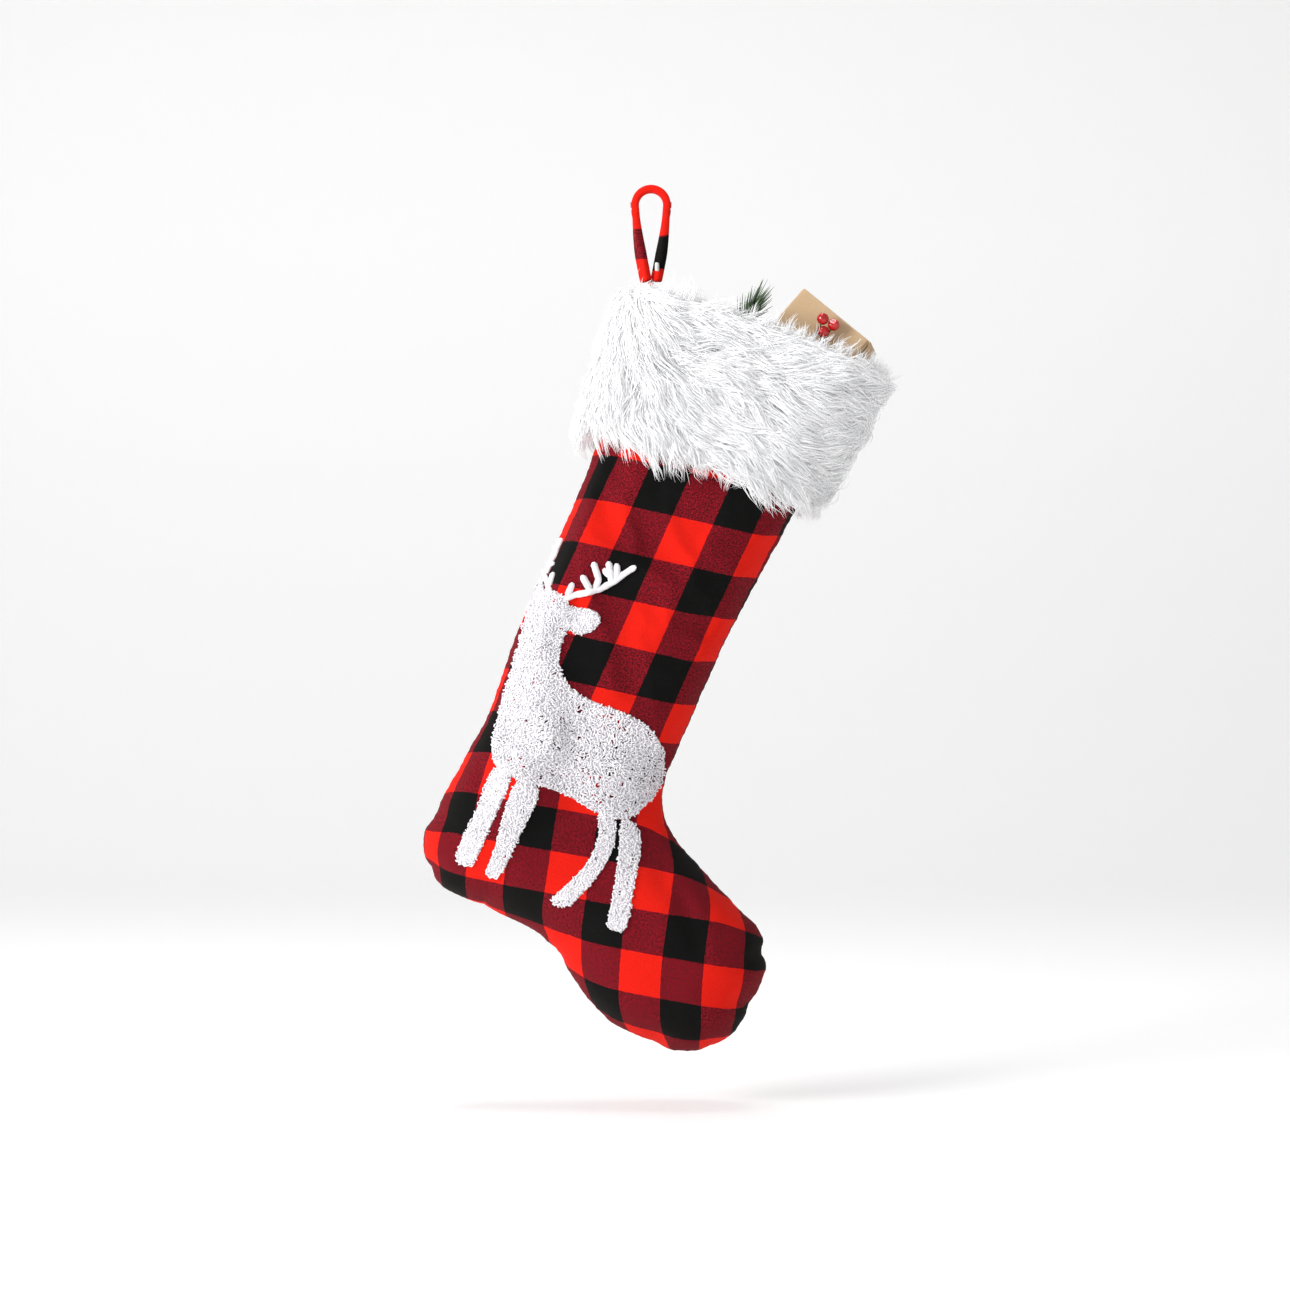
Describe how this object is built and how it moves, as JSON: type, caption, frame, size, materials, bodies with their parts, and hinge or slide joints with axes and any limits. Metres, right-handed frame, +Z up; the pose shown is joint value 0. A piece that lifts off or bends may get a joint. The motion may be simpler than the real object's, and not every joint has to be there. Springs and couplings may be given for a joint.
{
  "type": "hanging stocking",
  "caption": "Hanging stocking of checked flannel with a long-pile cuff, a looped strap, a looped-pile reindeer and a wrapped gift standing in its mouth",
  "frame": {"origin": "where the hook touches the inside of the loop's crown", "axes": "+Z up as it hangs, -Y the front with the reindeer, +X towards the toe"},
  "size_m": [0.2854, 0.089, 0.5216],
  "materials": {
    "plaid_flannel": "matte",
    "wadding": "matte",
    "lining": "satin",
    "white_pile": "matte",
    "knit_backing": "matte",
    "white_yarn": "satin",
    "thread_red": "satin",
    "thread_white": "satin",
    "kraft_paper": "matte",
    "grey_board": "matte",
    "clear_tape": "gloss",
    "fir_twig": "matte",
    "fir_needle": "satin",
    "berry_red": "gloss",
    "berry_wire": "satin"
  },
  "bodies": {
    "loop": {"hanging_loop": "plaid_flannel", "loop_edge_stitching": "thread_red", "loop_bar_tack": "thread_white"},
    "anchor": {"loop_anchor_tack": "thread_red"},
    "stocking": {"loop_tail": "plaid_flannel", "front_panel": "plaid_flannel", "back_panel": "plaid_flannel", "front_interlining": "wadding", "back_interlining": "wadding", "front_lining": "lining", "back_lining": "lining", "seam_binding": "plaid_flannel", "seam_stitching": "thread_red", "front_cuff_pile": "white_pile", "back_cuff_pile": "white_pile", "front_cuff_backing": "knit_backing", "back_cuff_backing": "knit_backing", "front_mouth_facing": "lining", "back_mouth_facing": "lining", "rim_stitching": "thread_white", "reindeer_coat": "white_yarn", "reindeer_muzzle": "white_yarn", "reindeer_ear": "white_yarn", "reindeer_legs": "white_yarn", "reindeer_antler_left": "white_yarn", "reindeer_antler_right": "white_yarn"},
    "gift": {"gift_wrap": "kraft_paper", "gift_box_base": "grey_board", "gift_box_lid": "grey_board", "gift_end_flap": "kraft_paper", "gift_tape": "clear_tape"},
    "sprig": {"sprig_stem": "fir_twig", "sprig_needles": "fir_needle"},
    "berries": {"berries": "berry_red", "berry_wires": "berry_wire"}
  },
  "joints": [
    {"name": "swing", "type": "hinge", "parent": "loop", "child": "anchor", "pos_m": [0, 0, -0.0546], "axis": [0, 1, 0], "range_deg": [-25, 25]},
    {"name": "tip", "type": "hinge", "parent": "anchor", "child": "stocking", "pos_m": [0, 0, -0.0546], "axis": [1, 0, 0], "range_deg": [-30, 30]},
    {"name": "gift_out", "type": "slide", "parent": "stocking", "child": "gift", "axis": [0.6561, 0, 0.7547], "range_m": [0, 0.1]},
    {"name": "sprig_out", "type": "slide", "parent": "stocking", "child": "sprig", "axis": [0.5446, 0, 0.8387], "range_m": [0, 0.09]},
    {"name": "berries_out", "type": "slide", "parent": "stocking", "child": "berries", "axis": [0.4067, 0, 0.9135], "range_m": [0, 0.07]}
  ]
}
